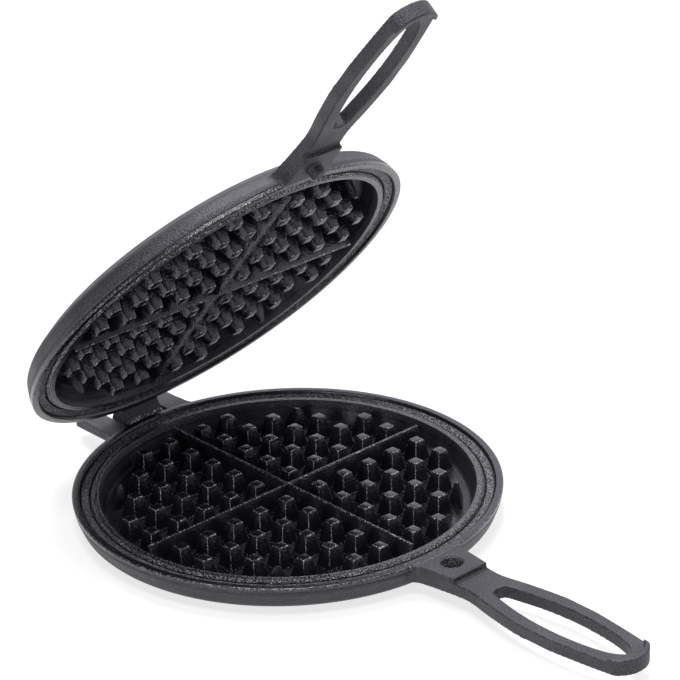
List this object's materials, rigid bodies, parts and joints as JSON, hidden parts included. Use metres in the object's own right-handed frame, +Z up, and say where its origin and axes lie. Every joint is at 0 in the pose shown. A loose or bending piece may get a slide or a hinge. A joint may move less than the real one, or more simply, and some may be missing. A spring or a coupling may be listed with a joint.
{
  "type": "waffle iron",
  "caption": "Stove-top waffle iron in seasoned cast iron: round hinged plates with peg grids, a cross of dividers and flat loop handles, shown half open.",
  "frame": {"origin": "centre of the lower plate's flat underside, which rests on the table or burner", "axes": "+Z up, +X from the hinge towards the handles, +Y along the hinge pin"},
  "size_m": [0.3796, 0.216, 0.2917],
  "materials": {
    "iron": "seasoned cast iron, matte and sandy outside, near-black and glossy inside the wells",
    "pin_steel": "dark drawn steel rod"
  },
  "bodies": {
    "lower": {"lower_plate": "iron", "hinge_pin": "pin_steel"},
    "upper": {"upper_plate": "iron"}
  },
  "joints": [
    {"name": "plate_hinge", "type": "hinge", "parent": "lower", "child": "upper", "pos_m": [-0.1155, 0, 0.0108], "axis": [0, -1, 0], "range_deg": [-50.2, 61.8]}
  ]
}
